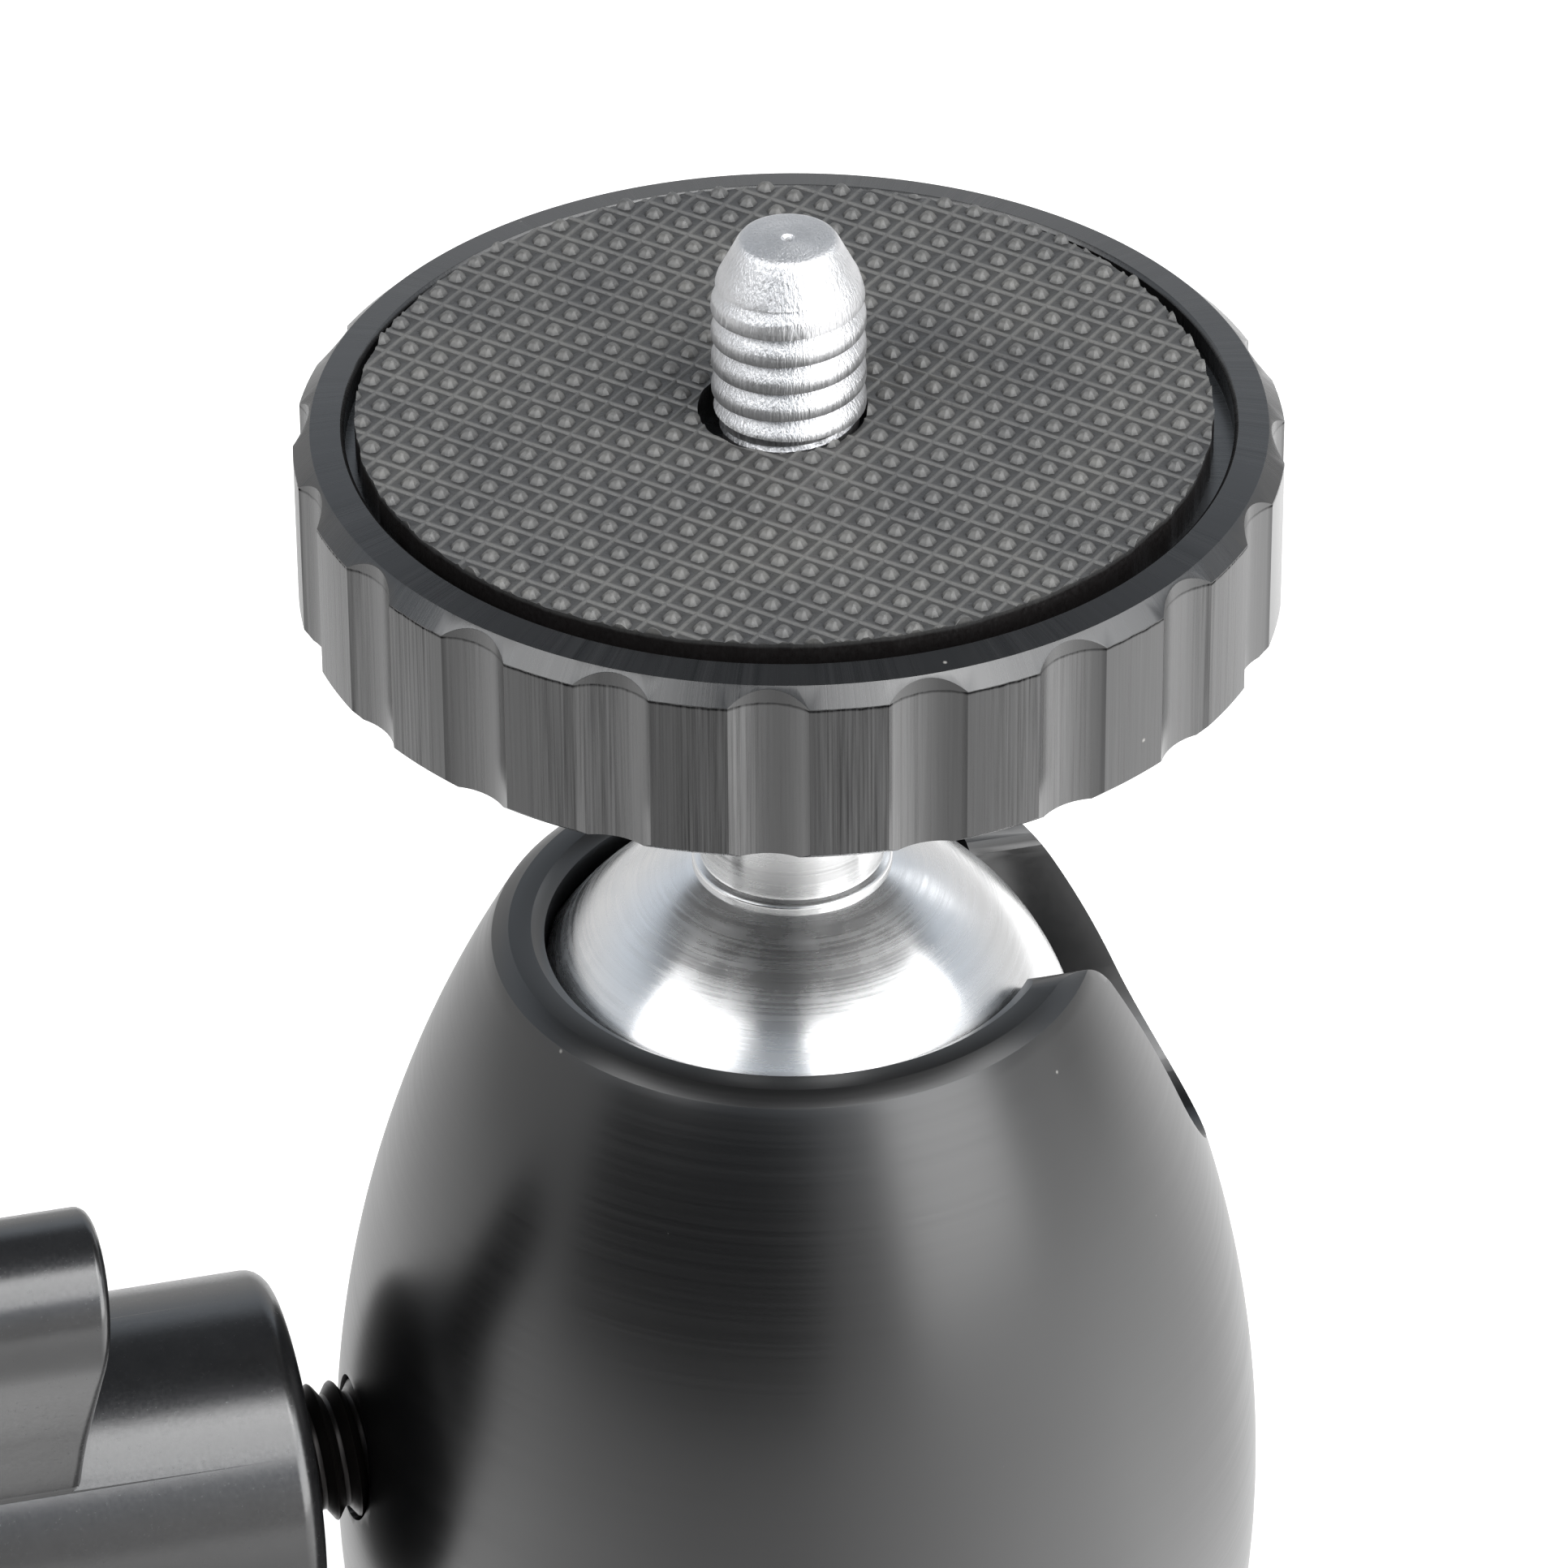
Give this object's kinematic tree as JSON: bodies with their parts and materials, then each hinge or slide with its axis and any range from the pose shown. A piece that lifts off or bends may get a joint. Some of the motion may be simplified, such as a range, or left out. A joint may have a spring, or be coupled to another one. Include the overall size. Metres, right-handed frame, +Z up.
{
  "type": "mini ball head",
  "caption": "Small ball head: a clamped ball on a neck carries a fluted disc with rubber pad and camera stud; egg-shaped housing with drop notch, T-handle lock and tripod thread.",
  "frame": {"origin": "centre of the base, at the mouth of the tripod thread", "axes": "+Z up along the upright neck, +X towards the drop notch, -X towards the lock handle"},
  "size_m": [0.0613, 0.0404, 0.0817],
  "materials": {
    "black_anodised": "black anodised, satin, fine turning marks",
    "polished_aluminium": "turned and polished",
    "turned_aluminium": "turned, threaded",
    "rubber": "matt black rubber with a fine raised grid",
    "spring_steel": "bright spring steel",
    "steel": "ground steel",
    "blackened_steel": "black oxide steel",
    "brass": "turned brass",
    "liner_polymer": "off-white bearing polymer",
    "black_paint": "gloss black paint on a zinc die casting"
  },
  "bodies": {
    "base": {"housing": "black_anodised", "screw_bush": "brass", "base_plug": "black_anodised", "tripod_bush": "brass", "base_grub_screws": "blackened_steel", "spring_shim": "steel", "disc_springs": "spring_steel", "block_guide_pin": "steel"},
    "liner": {"seat_liner": "liner_polymer"},
    "ball": {"ball_and_neck": "polished_aluminium"},
    "platform": {"platform_disc": "black_anodised", "platform_pad": "rubber", "camera_stud": "turned_aluminium", "platform_lock_washer": "spring_steel"},
    "thrust": {"thrust_tip": "steel"},
    "handle": {"lock_screw": "blackened_steel", "lock_knob": "black_paint", "knob_pin": "steel", "captive_ring": "spring_steel"},
    "block": {"pressure_block": "brass"}
  },
  "joints": [
    {"name": "side_tilt", "type": "hinge", "parent": "base", "child": "liner", "pos_m": [0, 0, 0.04], "axis": [1, 0, 0], "range_deg": [-24, 24]},
    {"name": "drop_tilt", "type": "hinge", "parent": "liner", "child": "ball", "pos_m": [0, 0, 0.04], "axis": [0, 1, 0], "range_deg": [-24, 90]},
    {"name": "platform_turn", "type": "hinge", "parent": "ball", "child": "platform", "pos_m": [0, 0, 0.04], "axis": [0, 0, 1], "continuous": true},
    {"name": "lock_travel", "type": "slide", "parent": "base", "child": "thrust", "axis": [-1, 0, 0], "range_m": [0, 0.0015]},
    {"name": "knob_turn", "type": "hinge", "parent": "thrust", "child": "handle", "pos_m": [-0.0223, 0, 0.0243], "axis": [-1, 0, 0], "range_deg": [0, 540.01]},
    {"name": "block_lift", "type": "slide", "parent": "base", "child": "block", "axis": [0, 0, 1], "range_m": [-0.00020001, 0]}
  ],
  "couplings": [
    {"joint": "knob_turn", "follows": "lock_travel", "rad_per_m": 6283.2},
    {"joint": "block_lift", "follows": "lock_travel", "ratio": -0.13333}
  ]
}
